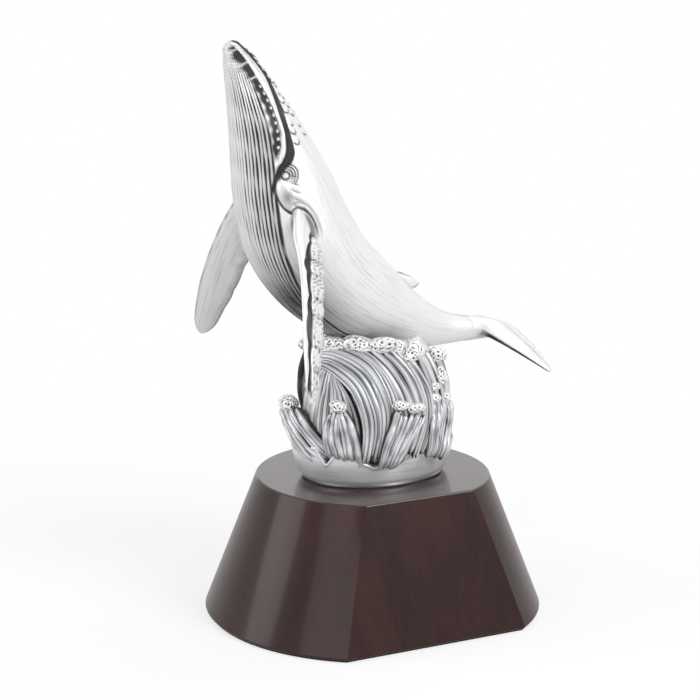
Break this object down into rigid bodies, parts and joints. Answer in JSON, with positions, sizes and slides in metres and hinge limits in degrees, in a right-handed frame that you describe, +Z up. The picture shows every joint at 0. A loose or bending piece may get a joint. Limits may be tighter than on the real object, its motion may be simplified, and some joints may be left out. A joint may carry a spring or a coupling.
{
  "type": "whale figurine",
  "caption": "Breaching humpback whale in antique silver on a carved wave group, on a dark wooden tapered plinth with a flat face for a name plate.",
  "frame": {"origin": "on the plinth's axis, at the felt's underside, which is the surface that the figurine stands on", "axes": "+Z up, -Y out of the plinth's flat plate face, the whale's head towards -X and up, its tail towards +X"},
  "size_m": [0.1492, 0.1357, 0.2543],
  "materials": {
    "antique_silver_whale": "satin silver plate with black patina in the recesses",
    "antique_silver_wave": "satin silver plate with black patina between the ridges",
    "antique_silver_foam": "pitted silver plate with black patina in the pits",
    "lacquered_wood": "satin lacquer over dark mahogany stain",
    "felt": "black felt",
    "steel_fixings": "zinc plated",
    "brass_inserts": "turned"
  },
  "bodies": {
    "root": {"felt_pad": "felt", "plinth": "lacquered_wood", "fixing_screws": "steel_fixings", "fixing_washers": "steel_fixings", "threaded_inserts": "brass_inserts", "belly_dowel": "steel_fixings", "whale_body": "antique_silver_whale", "left_flipper": "antique_silver_whale", "right_flipper": "antique_silver_whale", "tail_flukes": "antique_silver_whale", "foam_crest_front": "antique_silver_foam", "foam_crest_back": "antique_silver_foam", "wave_core": "antique_silver_wave", "wave_curl_front": "antique_silver_wave", "wave_curl_back": "antique_silver_wave", "splash_jet_left": "antique_silver_wave", "splash_jet_centre": "antique_silver_wave", "splash_jet_front": "antique_silver_wave", "splash_jet_right": "antique_silver_wave", "splash_jet_tail": "antique_silver_wave", "splash_jet_back": "antique_silver_wave"}
  },
  "joints": []
}
